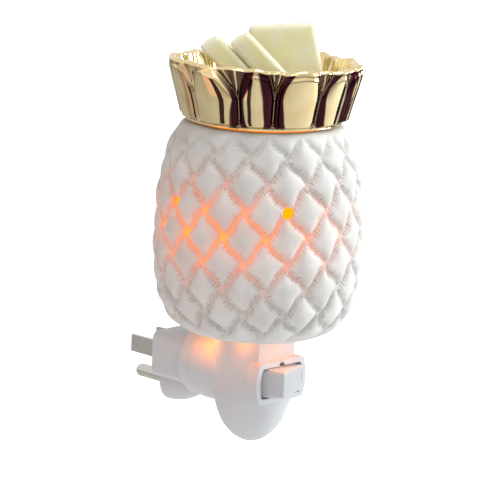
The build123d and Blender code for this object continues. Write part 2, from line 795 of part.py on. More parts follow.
nodes = {
    "plug_body": plug_body, "ground_pin": ground_pin,
    "blade_hot": blade_hot, "blade_neutral": blade_neutral,
    "slip_ring_hot": slip_ring_hot, "slip_ring_neutral": slip_ring_neutral,
    "swivel_washer": swivel_washer, "swivel_clip": swivel_clip,
    "rear_shell": rear_shell, "front_shell": front_shell, "shell_screw": shell_screw,
    "switch_bezel": switch_bezel, "switch_housing": switch_housing,
    "terminal_line": terminal_line, "terminal_load": terminal_load,
    "brush_plate": brush_plate, "brush_hot": brush_hot, "brush_neutral": brush_neutral,
    "lead_line": lead_line, "lead_load": lead_load, "lead_neutral": lead_neutral,
    "socket_body": socket_body, "socket_screw_shell": socket_screw_shell, "socket_contact": socket_contact,
    "shade_gasket": shade_gasket, "shade_ring_nut": shade_ring_nut, "ceramic_shade": ceramic_shade,
    "rocker": rocker, "rocker_plunger": rocker_plunger, "rocker_spring": rocker_spring,
    "contact_bar": contact_bar,
    "bulb_glass": bulb_glass, "bulb_screw_base": bulb_screw_base, "bulb_insulator": bulb_insulator,
    "bulb_tip_contact": bulb_tip_contact, "bulb_stem": bulb_stem, "bulb_supports": bulb_supports,
    "bulb_filament": bulb_filament,
    "wax_dish": wax_dish, "wax_melt_1": wax_melt_1, "wax_melt_2": wax_melt_2, "wax_melt_3": wax_melt_3,
}
for node, shape in nodes.items():
    save(node, shape)
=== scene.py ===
import math

import bmesh
import bpy
import numpy as np
from mathutils import Matrix, Vector


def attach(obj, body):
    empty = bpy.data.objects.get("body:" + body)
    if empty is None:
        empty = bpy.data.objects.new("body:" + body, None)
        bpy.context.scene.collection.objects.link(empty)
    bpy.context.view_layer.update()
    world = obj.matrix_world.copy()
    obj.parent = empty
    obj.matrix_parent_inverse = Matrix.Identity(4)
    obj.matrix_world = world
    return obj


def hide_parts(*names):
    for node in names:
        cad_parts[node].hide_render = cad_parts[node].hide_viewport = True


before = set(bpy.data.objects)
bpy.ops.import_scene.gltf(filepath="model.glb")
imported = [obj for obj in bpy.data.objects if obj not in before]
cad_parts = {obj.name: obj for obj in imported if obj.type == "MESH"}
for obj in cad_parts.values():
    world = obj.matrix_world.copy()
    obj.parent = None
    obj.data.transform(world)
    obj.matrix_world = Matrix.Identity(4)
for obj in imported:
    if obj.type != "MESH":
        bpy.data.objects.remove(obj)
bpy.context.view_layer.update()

# Lengths are in millimetres and angles in degrees; MM turns a length into Blender's metres.
MM = 0.001

# Camera, at the photograph's place: position and axes in the frame of the part
CAMERA_PLACE = (-620.3, -625.7, 224.1)
CAMERA_RIGHT = (0.6946, -0.7182, 0.0408)
CAMERA_UP = (0.1209, 0.1724, 0.9776)
CAMERA_AHEAD = (0.7091, 0.6741, -0.2066)
CAMERA_LENS = 176.9
CAMERA_SENSOR = 36
CAMERA_CLIP = (50, 20000)

# The upright axis that shade, dish and bulb share, and where the pieces stand on it
COLUMN_Y = -40.0
SHADE_BOTTOM = 15.7
DISH_BOTTOM = 91.2

# Quilted shade, as (radius, height): the crest line of the pillows from the foot up, and the wall
# inside from the mouth down to the foot hole
SHADE_CREST = (
    (22.0, 15.75), (24.6, 16.0), (26.7, 16.9), (28.9, 18.0), (31.0, 19.7), (32.9, 22.2), (34.9, 26.0),
    (36.2, 31.2), (37.0, 36.5), (37.6, 42.5), (37.65, 49.2), (37.3, 59.2), (36.8, 66.0), (36.3, 69.2),
    (35.5, 74.2), (34.6, 78.2), (33.2, 82.2), (31.6, 85.8), (29.9, 88.3), (27.8, 89.9), (25.2, 90.25),
    (23.4, 90.2))
SHADE_INSIDE = (
    (21.6, 89.5), (21.6, 87.2), (24.2, 86.6), (29.6, 79.0), (32.3, 68.0), (33.4, 53.0), (34.0, 41.2),
    (32.8, 30.5), (29.6, 23.7), (24.0, 19.9), (15.0, 19.7), (9.6, 19.7), (9.6, 15.75))
SHADE_ROW_STEP = 0.3
SHADE_COLUMNS = 900
LIGHT_HOLES = 5
LIGHT_HOLE_RADIUS = 2.15
LIGHT_HOLE_REACH = (28, 44)
VENTS = 6
VENT_RADIUS = 3.0
VENT_RING = 19.0
VENT_REACH = (10, 24)
HOLE_SIDES = 48

# Quilting: grooves cross at NODE_TURN, NODE_HEIGHT, where the first light hole is
NODE_HEIGHT = 64.2
NODE_TURN = -120.5
DIAMONDS = 15
HALF_PITCH = 9.3
QUILT_RADIUS = 37
PILLOW_RISE = 2.0
PILLOW_SOFTNESS = 1.9
# A pillow comes to PILLOW_RISE at this many times its softness from the groove
PILLOW_FULL = 2.2
# The power that rounds a pillow's corners: a higher one makes them sharper
PILLOW_CORNER = 2.4
PILLOW_LEAST = 0.02
GROOVE_HALF_WIDTH = 0.3
# How far a groove bows and sways, as shares of the space between two grooves
GROOVE_BOW_SHARE = 0.045
HAND_SWAY_SHARE = 0.012
QUILT_FADE_LOW = (4.0, 13.0)
QUILT_FADE_HIGH = (21.5, 28.5)

# Needle marks beside the grooves, STITCH_COUNT along each side of a pillow. Stagger and sway are
# shares of the space between two marks, and reach and weight are (middle, spread).
STITCH_DEPTH = 0.75
STITCH_COUNT = 10
STITCH_STAGGER_SHARE = 0.3
STITCH_SWAY_SHARE = 0.1
STITCH_REACH = (2.1, 0.6)
STITCH_WEIGHT = (0.75, 0.25)
STITCH_START = (0.1, 0.5)
STITCH_TAPER_SHARE = 0.45
STITCH_POINT = 1.2
CROSSING_CLEAR = (0.5, 1.4)

# Painted shade in the creases: the marks' share, the groove's share and width, and where it ends above
CREASE_SHADE_MARK_SHARE = 0.6
CREASE_SHADE_GROOVE_SHARE = 0.2
CREASE_SHADE_WIDTH = 0.5
CREASE_SHADE_FADE_HIGH = (80, 87)

# The bulb's light through the clay: painted strongest on the side towards GLOW_TURN, and how far it spreads
GLOW_TURN = -171.0
GLOW_HEIGHT = 56.0
GLOW_SPREAD = 14.5
GLOW_STRENGTH = 0.88
GLOW_FAR_SIDE_SHARE = 0.09
GLOW_FALL = 2.7
# A bright thread in each groove, the pricked marks, and a flush on the pillows' edges
THREAD_SHARE = 0.6
THREAD_WIDTH = 0.62
PRICK_SHARE = 0.3
FLUSH_SHARE = 0.28
FLUSH_WIDTH = 3.2
# The clay is thinnest where two grooves cross
CROSSING_SHARE = 0.5
CROSSING_WIDTH = 1.8
# Full light inside: deeper than the wall, and in the foot between two heights over its bottom
GLOW_INSIDE = 1.15
LIT_DEPTH = 3.05
FOOT_LIT_HEIGHTS = (0.3, 4.5)
FOOT_LIT_RADIUS = 23.2

# Petal dish. Each gap between petals is (foot angle, left and right angle at the rim).
GAPS = (
    (-190.0, -198.0, -184.0), (-154.0, -170.5, -149.0), (-130.0, -135.5, -123.5), (-97.0, -102.5, -87.8),
    (-70.0, -77.0, -63.0), (-41.0, -48.0, -33.0), (-9.0, -15.0, -2.0), (19.0, 12.0, 27.0),
    (50.0, 43.0, 56.0), (81.0, 75.0, 89.0), (109.0, 101.0, 115.0), (141.0, 135.0, 148.0))
GAP_BOTTOM = 10.5
GAP_OPENING = 1.35
GAP_FOOT_WIDTH = 2.0
GAP_FOOT_HEIGHT = 3.2
GAP_FOOT_CURVE = 1.5
GAP_LEAST = 0.05
# The radius that turns a gap's angles into lengths, which grows by the flare up to the rim
GAP_RADIUS = 28.0
GAP_RADIUS_FLARE = 5.4
FOLD_RISE = 0.9
FOLD_CURVE = 0.8
FOLD_START = (0.0, 0.5)
FOLD_BLEND = 0.8
DISH_HEIGHT = 21.5
DISH_FOOT = 29.7
DISH_RIM = 35.7
DISH_CURVE = 1.12
DISH_COLUMNS = 1080

# Petals. Flank and swell are (rise, distance over which it comes).
PETAL_RISE = 3.0
PETAL_FLANK = (2.3, 1.9)
PETAL_SWELL = (0.9, 6.0)
PETAL_ROWS = 110
PETAL_FOOT = 0.15
PETAL_START = (0.7, 1.6)
PETAL_FOOT_FLARE = 0.75
PETAL_EASE = 0.25
PETAL_EASE_SHARES = (0.86, 1.0)
# Faint ribs, on the petals between two angles alone
RIB_RISE = 0.13
RIB_PACE = 2.1
RIB_BEND = 0.5
RIB_BEND_PACE = 0.7
RIB_EDGE = (0.5, 2.5)
RIB_TURNS = ((-84, -66), (-6, 8))

# The rim, which swells on the petals and stands higher on the side that faces RIM_LIFT_TURN
RIM_SWELL = 0.95
RIM_SWELL_WIDTH = 5.5
RIM_SWELL_CURVE = 0.8
RIM_FOLD = 0.5
RIM_LIFT = 1.1
RIM_LIFT_TURN = -171
RIM_WAVER = 0.2
DISH_LIP = 1.15
DISH_LIP_CROWN = 1.05
DISH_LIP_EXTRA = 0.35
LIP_ROWS = 13

# Painted dark reflection on the gold, and how strong it is at each angle, as (angle, share)
DARK_REFLECTION_WIDTH = 2.9
DARK_REFLECTION_SWAY_ROUND = 0.9
DARK_REFLECTION_SWAY_UP = 0.8
DARK_REFLECTION_CORE_SHARE = 0.82
DARK_REFLECTION_START = (-0.2, 0.3)
DARK_REFLECTION_FOLD_BANDS = (0.25, 0.4)
DARK_REFLECTION_RIB_BANDS = (0.1, 0.5)
DARK_REFLECTION_RIB_TURNS = ((-88, -74), (-30, -12))
DARK_REFLECTION_FOOT = (0.3, 1.0)
DARK_REFLECTION_FOLD_SHARE = 0.9
DARK_REFLECTION_RIB_SHARE = 0.85
DARK_REFLECTION_SHARES = ((-180, 0.35), (-172, 0.3), (-158, 1.0), (-60, 1.0), (0, 0.7), (90, 0.6), (180, 0.35))

# From the axis out to the foot, with the ring that drops into the shade's mouth
DISH_UNDERSIDE = (
    (0.01, 0.0), (18.0, 0.0), (18.6, -0.4), (18.6, -4.6), (19.0, -5.0), (20.6, -5.0), (21.0, -4.6),
    (21.0, -0.5), (21.5, 0.0), (26.6, 0.0), (27.6, 0.05))
BOWL_RADIUS = 27.4
BOWL_SIDE_ROWS = 33
BOWL_SIDE_CURVE = 1.5
BOWL_CORNER = 4.8
BOWL_CORNER_TOP = 7.6
BOWL_CORNER_ROWS = 11
BOWL_FLOOR = ((17.0, 2.8), (8.0, 2.8), (0.01, 2.8))

# Wax melts: name, node, centre (across, along, height) over the dish's foot, lean, face size, draft
WAX_PIECES = (
    ("wax_block_front", "wax_melt_1", (-8.0, -12.0, 17.3), 44.5, (36.0, 18.0, 8.0), 12.0),
    ("wax_block_middle", "wax_melt_2", (2.1, -12.0, 18.7), 44.5, (36.0, 18.0, 8.0), 12.0),
    ("wax_block_back", "wax_melt_3", (6.1, 10.0, 18.5), -5.0, (31.3, 9.0, 29.0), 8.0))
WAX_TURN = -46.5
WAX_TAPER = 4.0
WAX_ROUND = 1.8
WAX_CUTS = 30
WAX_FIRST_SEED = 11
WAX_WAVES = 5
WAX_WAVE_PACE = 0.32
WAX_RIPPLE = 0.03
WAX_SHRINK = 0.25

# Studio
SKY_STRENGTH = 0.38
FLOOR_HALF = 4000
FLOOR_LEVEL = -130
FLAG_REACH = 230
FLAG_LOW = -128
FLAG_HIGH = 60
# Name, turn round the object, half width as an angle
FLAGS = (("flag_left", 180, 8), ("flag_right", -20, 12), ("flag_back", 40, 14))
# Name, place, target, size, power, colour
SOFT_BOXES = (
    ("key_box", (700, -540, 230), (0, -40, 40), 420, 5.5, "f8fcff"),
    ("fill_box", (-560, -470, 620), (0, -40, 60), 500, 1.0, "ffffff"),
    ("top_box", (60, -240, 650), (0, -40, 60), 380, 1.9, "ffffff"),
    ("low_warm_box", (-300, 10, 30), (0, -40, 40), 220, 0.07, "ff9a78"))
VENT_GLOW_POWERS = (0.0012, 0.0022, 0.0008, 0.001, 0.001, 0.001)
VENT_GLOW_SIZE = 4.4
VENT_GLOW_DROP = 0.2
VENT_GLOW_COLOUR = "ff860a"


# Materials
def linear(hex_colour):
    """An sRGB hex value such as 'f2efe9' as linear red, green, blue and alpha."""
    values = [int(hex_colour[i:i + 2], 16) / 255 for i in (0, 2, 4)]
    return [v / 12.92 if v <= 0.04045 else ((v + 0.055) / 1.055) ** 2.4 for v in values] + [1.0]


def add(material, kind, settings=None, **links):
    """Adds one node, sets its values by socket or property name, and links its inputs.

    A link named _0 or _1 goes to the input with that number, for nodes whose inputs share a name.
    """
    tree = material.node_tree
    node = tree.nodes.new(kind)
    for name, value in (settings or {}).items():
        if name in node.inputs:
            node.inputs[name].default_value = value
        else:
            setattr(node, name, value)
    for name, source in links.items():
        numbered = name[0] == "_" and name[1:].isdigit()
        tree.links.new(source, node.inputs[int(name[1:]) if numbered else name.replace("_", " ")])
    return node


def new_material(name, colour, roughness, **shader):
    """A Principled material with its plain values on the shader's own sockets."""
    material = bpy.data.materials.new(name)
    material.use_nodes = True
    bsdf = material.node_tree.nodes["Principled BSDF"]
    bsdf.inputs["Base Color"].default_value = linear(colour)
    bsdf.inputs["Roughness"].default_value = roughness
    for socket, value in shader.items():
        bsdf.inputs[socket.replace("_", " ")].default_value = value
    return material, bsdf


def grain(material, bsdf, size_mm, depth_mm, stretch=(1, 1, 1), detail=3.0):
    """A bump of noise whose grains are about size_mm across."""
    place = add(material, "ShaderNodeTexCoord")
    scaled = add(material, "ShaderNodeMapping", {"Scale": stretch}, Vector=place.outputs["Object"])
    noise = add(material, "ShaderNodeTexNoise", {"Scale": 1 / (size_mm * MM), "Detail": detail},
                Vector=scaled.outputs["Vector"])
    bump = add(material, "ShaderNodeBump", {"Distance": depth_mm * MM, "Strength": 1.0},
               Height=noise.outputs["Fac"])
    material.node_tree.links.new(bump.outputs["Normal"], bsdf.inputs["Normal"])


def mottle(material, bsdf, low, high, size_mm):
    """A base colour that drifts between two colours over patches about size_mm across."""
    place = add(material, "ShaderNodeTexCoord")
    noise = add(material, "ShaderNodeTexNoise", {"Scale": 1 / (size_mm * MM), "Detail": 2.0},
                Vector=place.outputs["Object"])
    ramp = add(material, "ShaderNodeValToRGB", Fac=noise.outputs["Fac"])
    first, last = ramp.color_ramp.elements
    first.position, last.position = 0.35, 0.65
    first.color, last.color = linear(low), linear(high)
    material.node_tree.links.new(ramp.outputs["Color"], bsdf.inputs["Base Color"])
    return ramp


def tint(material, bsdf, base, attribute, colour):
    """Mixes a colour over the base colour where a value stored on the mesh says so."""
    amount = add(material, "ShaderNodeAttribute", {"attribute_name": attribute})
    mixed = add(material, "ShaderNodeMix", {"data_type": "RGBA"}, _0=amount.outputs["Fac"], _6=base)
    mixed.inputs[7].default_value = linear(colour)
    material.node_tree.links.new(mixed.outputs[2], bsdf.inputs["Base Color"])
    return mixed.outputs[2]


def moulded_plastic(name, colour, patch_colour, roughness):
    """Injection-moulded plastic: highlights over a faint orange peel, and a tone that barely drifts."""
    material, bsdf = new_material(name, colour, roughness, IOR=1.53, Subsurface_Weight=0.08,
                                  Subsurface_Radius=(0.0015, 0.001, 0.0008))
    grain(material, bsdf, 0.9, 0.006)
    mottle(material, bsdf, colour, patch_colour, 14)
    return material


def metal(name, colour, roughness, size_mm, depth_mm, stretch=(1, 1, 1)):
    """A bare or plated metal: fine working marks, and a polish that handling left uneven."""
    # Real working marks are finer, and are drawn this coarse so that they show
    material, bsdf = new_material(name, colour, roughness, Metallic=1.0)
    grain(material, bsdf, size_mm, depth_mm, stretch)
    patch_mm = 3.0
    place = add(material, "ShaderNodeTexCoord")
    noise = add(material, "ShaderNodeTexNoise", {"Scale": 1 / (patch_mm * MM), "Detail": 2.0},
                Vector=place.outputs["Object"])
    polish = add(material, "ShaderNodeMapRange", {
        "From Min": 0.3, "From Max": 0.7, "To Min": roughness * 0.8, "To Max": roughness * 1.3},
        Value=noise.outputs["Fac"])
    material.node_tree.links.new(polish.outputs["Result"], bsdf.inputs["Roughness"])
    return material


def bisque_shade():
    """Unglazed slip-cast bisque: chalky, matt, and thin enough in its grooves to let light through."""
    material, bsdf = new_material("bisque porcelain, slip cast and unglazed", "dcdad5", 0.86, IOR=1.5)
    # Grains of clay are far finer, and are drawn this coarse so that they show close up
    grain(material, bsdf, 0.35, 0.02, detail=4.0)
    clay = mottle(material, bsdf, "ebece9", "dededa", 9)
    # Painted shade in the needle marks and along the grooves, so they read as fine darker lines
    shaded_creases = tint(material, bsdf, clay.outputs["Color"], "crease_shade", "8d8078")
    # Where the clay is thin it passes the bulb's light, and so takes on its orange
    tint(material, bsdf, shaded_creases, "glow", "e88a5a")
    # The light itself: rose where it is faint, orange and then yellow where it is strong
    glow = add(material, "ShaderNodeAttribute", {"attribute_name": "glow"})
    ramp = add(material, "ShaderNodeValToRGB", Fac=glow.outputs["Fac"])
    stops = ramp.color_ramp.elements
    stops[0].position, stops[0].color = 0.0, linear("ff9a80")
    stops[1].position, stops[1].color = 1.0, linear("ffac08")
    for place, colour in ((0.4, "ff7a4e"), (0.75, "ff8a30")):
        stop = stops.new(place)
        stop.color = linear(colour)
    strength = add(material, "ShaderNodeMath", {"operation": "MULTIPLY"}, _0=glow.outputs["Fac"])
    strength.inputs[1].default_value = GLOW_STRENGTH
    material.node_tree.links.new(ramp.outputs["Color"], bsdf.inputs["Emission Color"])
    material.node_tree.links.new(strength.outputs["Value"], bsdf.inputs["Emission Strength"])
    return material


def gold_lustre():
    """Gold lustre fired over a glaze: a thin metal film, mirror bright, on slightly wavy glaze."""
    material, bsdf = new_material("gold lustre over glaze, fired", "e6d2a0", 0.06, Metallic=1.0)
    grain(material, bsdf, 5.0, 0.05, detail=1.0)
    gold = mottle(material, bsdf, "ead8aa", "dfc792", 12)
    # Painted dark reflection: a deep plum mixed over the gold on the petals' flanks, folds and ribs
    tint(material, bsdf, gold.outputs["Color"], "painted_reflection", "3c1a22")
    return material


def cream_wax():
    """Soy wax, poured and cut loose from its mould: milky, waxy sheen, lit through at its edges."""
    # Radius times scale is how far the light goes in: 3 mm for red, and less for green and blue
    material, bsdf = new_material("soy wax, poured", "fefce2", 0.36, IOR=1.44, Subsurface_Weight=0.7,
                                  Subsurface_Radius=(0.006, 0.0055, 0.0034), Subsurface_Scale=0.5)
    grain(material, bsdf, 2.2, 0.03)
    mottle(material, bsdf, "fefce2", "faf5cb", 7)
    return material


def glass(name, colour, roughness=0.02):
    """Clear blown or pressed glass: sharp reflections that a faint waviness bends."""
    material, bsdf = new_material(name, colour, roughness, IOR=1.5, Transmission_Weight=1.0)
    grain(material, bsdf, 6.0, 0.01, detail=1.0)
    return material


# ABS from a satin tool: soft, broad highlights
white_abs = moulded_plastic("ABS, moulded, satin white", "dbdfe1", "d8dadd", 0.34)
# The key of the switch comes from a smoother tool, so its edges catch a tighter light
rocker_abs = moulded_plastic("ABS, moulded, smooth white", "ccd2d6", "d2d5da", 0.26)
# Phenolic for the hot parts: duller and yellower than the casing
phenolic = moulded_plastic("phenolic moulding, off-white", "d2cdc0", "c8c3b5", 0.5)
bisque = bisque_shade()
lustre = gold_lustre()
wax = cream_wax()
# Nickel over blanked brass: a pale warm shine with fine lines along the strip
nickel = metal("brass strip, nickel plated and blanked", "c9c5bc", 0.24, 0.25, 0.004, (1, 0.1, 1))
# Bare brass pressed from sheet: yellow, with lines from the rolling
brass = metal("brass sheet, stamped", "cfa75a", 0.3, 0.3, 0.004, (1, 0.2, 1))
# Zinc on steel: grey and a little cloudy
steel = metal("steel, zinc plated", "b4b6ba", 0.38, 0.4, 0.006)
clear_glass = glass("soda-lime glass, blown", "fffdf8")
# The stem is pinched while hot, which leaves its glass less clear
stem_glass = glass("lead glass, pressed", "f4f2ec", 0.08)

# The black glass that is fused into a bulb's base: glossy and slightly pitted
black_glass, black_glass_shader = new_material("black glass, fused", "17171a", 0.18, IOR=1.55)
grain(black_glass, black_glass_shader, 0.5, 0.01)

# Silicone sleeve on wire, extruded: dull with a faint bloom
sleeve, sleeve_shader = new_material("silicone wire sleeve, extruded", "2b2b2e", 0.6, IOR=1.42)
grain(sleeve, sleeve_shader, 0.6, 0.01)
mottle(sleeve, sleeve_shader, "2b2b2e", "37373a", 2.5)

# Silicone gasket, moulded: milky and soft-edged
gasket, gasket_shader = new_material("silicone rubber, moulded", "dad7cf", 0.55, IOR=1.42,
                                     Subsurface_Weight=0.3, Subsurface_Radius=(0.002, 0.0018, 0.0015))
grain(gasket, gasket_shader, 0.8, 0.01)

# Tungsten wire at working heat: a warm white glow, drawn as one thick wire
tungsten, tungsten_shader = new_material("tungsten wire, coiled and hot", "ffd9a0", 0.5,
                                         Emission_Color=linear("ffc070"), Emission_Strength=12.0)
grain(tungsten, tungsten_shader, 0.3, 0.02)

# Dark felt: no shine at all, so mirrors see only its deep tone
flag_felt, felt_shader = new_material("flag cloth, dark felt", "2a141e", 0.9)
grain(flag_felt, felt_shader, 1.5, 0.2)

MATERIAL_NODES = (
    (white_abs, ("plug_body", "rear_shell", "front_shell", "switch_bezel")),
    (rocker_abs, ("rocker",)),
    (phenolic, ("rocker_plunger", "switch_housing", "brush_plate", "socket_body", "shade_ring_nut")),
    (nickel, ("blade_hot", "blade_neutral", "ground_pin", "bulb_screw_base")),
    (brass, ("slip_ring_hot", "slip_ring_neutral", "brush_hot", "brush_neutral", "terminal_line",
             "terminal_load", "contact_bar", "socket_screw_shell", "socket_contact", "bulb_tip_contact")),
    (steel, ("swivel_washer", "swivel_clip", "shell_screw", "rocker_spring", "bulb_supports")),
    (sleeve, ("lead_line", "lead_load", "lead_neutral")),
    (gasket, ("shade_gasket",)),
    (clear_glass, ("bulb_glass",)),
    (stem_glass, ("bulb_stem",)),
    (black_glass, ("bulb_insulator",)),
    (tungsten, ("bulb_filament",)),
    (bisque, ("ceramic_shade",)),
    (lustre, ("wax_dish",)),
    (wax, ("wax_melt_1", "wax_melt_2", "wax_melt_3")))
for material, nodes in MATERIAL_NODES:
    for node in nodes:
        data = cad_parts[node].data
        data.materials.clear()
        data.materials.append(material)


# Meshes
def piece(name, points, faces, body, material, replaced):
    """A smooth-shaded mesh piece that rides on a body and takes the place of a CAD node."""
    mesh = bpy.data.meshes.new(name)
    mesh.from_pydata([tuple(p) for p in np.asarray(points) * MM], [], faces)
    mesh.materials.append(material)
    mesh.polygons.foreach_set("use_smooth", [True] * len(mesh.polygons))
    mesh.update()
    made = bpy.data.objects.new(name, mesh)
    bpy.context.scene.collection.objects.link(made)
    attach(made, body)
    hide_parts(replaced)
    return made


def ring_points(radius, height, turn):
    """Points round the column's axis from rows of radii and heights and one row of angles."""
    angle = np.radians(turn)[None, :]
    across, along = radius * np.cos(angle), COLUMN_Y + radius * np.sin(angle)
    return np.stack([across, along, height], axis=-1).reshape(-1, 3)


def ring_faces(rows, columns):
    """Quads over rows of points that go round the upright axis, the last row joined to the first."""
    faces = []
    for r in range(rows):
        upper = (r + 1) % rows
        for c in range(columns):
            right = (c + 1) % columns
            faces.append((r * columns + c, r * columns + right, upper * columns + right, upper * columns + c))
    return faces


def store(made, name, values):
    """Stores one value per point for the materials to read."""
    layer = made.data.attributes.new(name, "FLOAT", "POINT")
    layer.data.foreach_set("value", values.reshape(-1).astype(np.float32))


def natural_spline(x, y, at):
    """Values of the natural cubic spline through (x, y)."""
    n = len(x)
    h = np.diff(x)
    matrix, right = np.eye(n), np.zeros(n)
    for i in range(1, n - 1):
        matrix[i, i - 1:i + 2] = h[i - 1], 2 * (h[i - 1] + h[i]), h[i]
        right[i] = 6 * ((y[i + 1] - y[i]) / h[i] - (y[i] - y[i - 1]) / h[i - 1])
    bend = np.linalg.solve(matrix, right)
    k = np.clip(np.searchsorted(x, at) - 1, 0, n - 2)
    a, b, w = x[k + 1] - at, at - x[k], h[k]
    return (bend[k] * a ** 3 + bend[k + 1] * b ** 3) / (6 * w) + (
        y[k] / w - bend[k] * w / 6) * a + (y[k + 1] / w - bend[k + 1] * w / 6) * b


def resample(profile, step):
    """A half section's (radius, height) points, evenly spaced on a smooth curve, with arc lengths."""
    points = np.array(profile, float)
    chord = np.r_[0, np.cumsum(np.hypot(*np.diff(points, axis=0).T))]
    dense = np.linspace(0, chord[-1], 4000)
    curve = np.c_[natural_spline(chord, points[:, 0], dense), natural_spline(chord, points[:, 1], dense)]
    arc = np.r_[0, np.cumsum(np.hypot(*np.diff(curve, axis=0).T))]
    even = np.linspace(0, arc[-1], max(2, int(arc[-1] / step)))
    return np.c_[np.interp(even, arc, curve[:, 0]), np.interp(even, arc, curve[:, 1])], even


def smooth_step(low, high, value):
    """Rises softly from 0 at low to 1 at high."""
    t = np.clip((value - low) / (high - low), 0, 1)
    return t * t * (3 - 2 * t)


def window(start, stop, value):
    """1 between a soft start and a soft stop, and 0 outside them."""
    return smooth_step(*start, value) * (1 - smooth_step(*stop, value))


def bell(distance, width):
    """Falls softly with the distance, from 1 to about a third at the width."""
    return np.exp(-(distance / width) ** 2)


def bulge(distance, rise, over):
    """Rises from an edge, steeply at first, and nears its full rise a few times over away."""
    return rise * (1 - np.exp(-np.maximum(distance, 0) / over))


def by_hand(middle, spread, wave):
    """A value that swings round its middle as a wave does, for what handwork leaves uneven."""
    return middle + spread * np.sin(wave)


def quilt(turn, arc, arc_at_node):
    """Quilt coordinates along the two sets of grooves; a groove runs wherever one is whole."""
    across = (turn - NODE_TURN) / (360 / DIAMONDS)
    up = (arc - arc_at_node) / (2 * HALF_PITCH)
    u, v = across + up, across - up
    # The grooves bow between crossings, and sway a little as they were pressed by hand
    bowed_u = u + GROOVE_BOW_SHARE * np.sin(2 * np.pi * v)
    bowed_v = v - GROOVE_BOW_SHARE * np.sin(2 * np.pi * u)
    return (by_hand(bowed_u, HAND_SWAY_SHARE, 9.1 * v + 3 * np.round(u)),
            by_hand(bowed_v, HAND_SWAY_SHARE, 8.3 * u + 2 * np.round(v)))


def groove_distance(u, side):
    """Distance in millimetres to the nearest groove of one set."""
    return np.abs(u - np.round(u)) * side


def pillow_edge(near_u, near_v):
    """Distance to the pillow's outline, whose corners are round."""
    near_u, near_v = np.maximum(near_u, PILLOW_LEAST), np.maximum(near_v, PILLOW_LEAST)
    return (near_u ** -PILLOW_CORNER + near_v ** -PILLOW_CORNER) ** (-1 / PILLOW_CORNER)


def stitches(u, v, side):
    """How deep the needle marks press in beside each groove, from 0 to about 1."""
    near_u, near_v = groove_distance(u, side), groove_distance(v, side)
    marks = np.zeros_like(u)
    for near_own, near_other, along, own in ((near_u, near_v, v, u), (near_v, near_u, u, v)):
        groove = np.round(own)
        half = np.sign(own - groove)
        # Marks on the two sides of a groove are staggered, and none is quite like the next
        place = along * STITCH_COUNT + STITCH_STAGGER_SHARE * half
        count = np.floor(place)
        phase = np.abs(np.sin(np.pi * by_hand(place, STITCH_SWAY_SHARE, 4.1 * count)))
        reach = by_hand(*STITCH_REACH, 4.3 * groove + 7.1 * count + half)
        weight = by_hand(*STITCH_WEIGHT, 3.7 * groove + 5.9 * count)
        band = window(STITCH_START, (STITCH_TAPER_SHARE * reach, reach), near_own)
        marks = marks + weight * band * smooth_step(*CROSSING_CLEAR, near_other) * (1 - phase) ** STITCH_POINT
    return marks


def pillow_relief(u, v, side):
    """Height of the quilt over its grooves, with the pinched stitches beside each groove."""
    near = pillow_edge(groove_distance(u, side), groove_distance(v, side))
    rise = PILLOW_RISE / (1 - math.exp(-PILLOW_FULL))
    return bulge(near - GROOVE_HALF_WIDTH, rise, PILLOW_SOFTNESS) - STITCH_DEPTH * stitches(u, v, side)


def glow_at(turn, height, near, marks):
    """How brightly the bulb shows through, painted most in the grooves on the side towards GLOW_TURN."""
    facing = np.clip(0.5 + 0.5 * np.cos(np.radians(turn - GLOW_TURN)), 0, 1)
    round_share = GLOW_FAR_SIDE_SHARE + (1 - GLOW_FAR_SIDE_SHARE) * facing ** GLOW_FALL
    tall_share = bell(height - GLOW_HEIGHT, GLOW_SPREAD)
    groove_share = (THREAD_SHARE * bell(near, THREAD_WIDTH) + PRICK_SHARE * marks
                    + FLUSH_SHARE * bell(near, FLUSH_WIDTH))
    return round_share * tall_share * groove_share


def bar_points(start, end, radius):
    """Two rings of points round a bar from start to end."""
    start, end = Vector(start), Vector(end)
    along = (end - start).normalized()
    across = along.orthogonal().normalized()
    other = along.cross(across)
    ring = [across * radius * math.cos(a) + other * radius * math.sin(a)
            for a in np.linspace(0, 2 * math.pi, HOLE_SIDES, endpoint=False)]
    return [start + p for p in ring] + [end + p for p in ring]


def vent_place(vent):
    """Where a vent is in the shade's floor, from above."""
    a = math.radians(90 + 360 / VENTS * vent)
    return VENT_RING * math.cos(a), COLUMN_Y + VENT_RING * math.sin(a)


def cut_holes(shade):
    """Cuts the round light holes and the vents with one boolean, and bakes it into the mesh."""
    bars = []
    for hole in range(LIGHT_HOLES):
        a = math.radians(NODE_TURN + 360 / LIGHT_HOLES * hole)
        start, end = [(r * math.cos(a), COLUMN_Y + r * math.sin(a), NODE_HEIGHT) for r in LIGHT_HOLE_REACH]
        bars.append((start, end, LIGHT_HOLE_RADIUS))
    for vent in range(VENTS):
        start, end = [(*vent_place(vent), z) for z in VENT_REACH]
        bars.append((start, end, VENT_RADIUS))
    points, faces, n = [], [], HOLE_SIDES
    for bar in bars:
        first = len(points)
        points += bar_points(*bar)
        faces += [(first + i, first + (i + 1) % n, first + n + (i + 1) % n, first + n + i) for i in range(n)]
        faces += [tuple(first + i for i in reversed(range(n))), tuple(first + n + i for i in range(n))]
    cutter_mesh = bpy.data.meshes.new("hole_cutter")
    cutter_mesh.from_pydata([tuple(Vector(p) * MM) for p in points], [], faces)
    cutter = bpy.data.objects.new("hole_cutter", cutter_mesh)
    bpy.context.scene.collection.objects.link(cutter)
    boolean = shade.modifiers.new("holes", "BOOLEAN")
    boolean.operation, boolean.solver, boolean.object = "DIFFERENCE", "EXACT", cutter
    done = bpy.data.meshes.new_from_object(shade.evaluated_get(bpy.context.evaluated_depsgraph_get()))
    shade.modifiers.clear()
    shade.data = done
    bpy.data.objects.remove(cutter)


def coordinates(mesh):
    """A mesh's points in millimetres."""
    flat = np.empty(len(mesh.vertices) * 3, np.float32)
    mesh.vertices.foreach_get("co", flat)
    return flat.reshape(-1, 3).astype(float) / MM


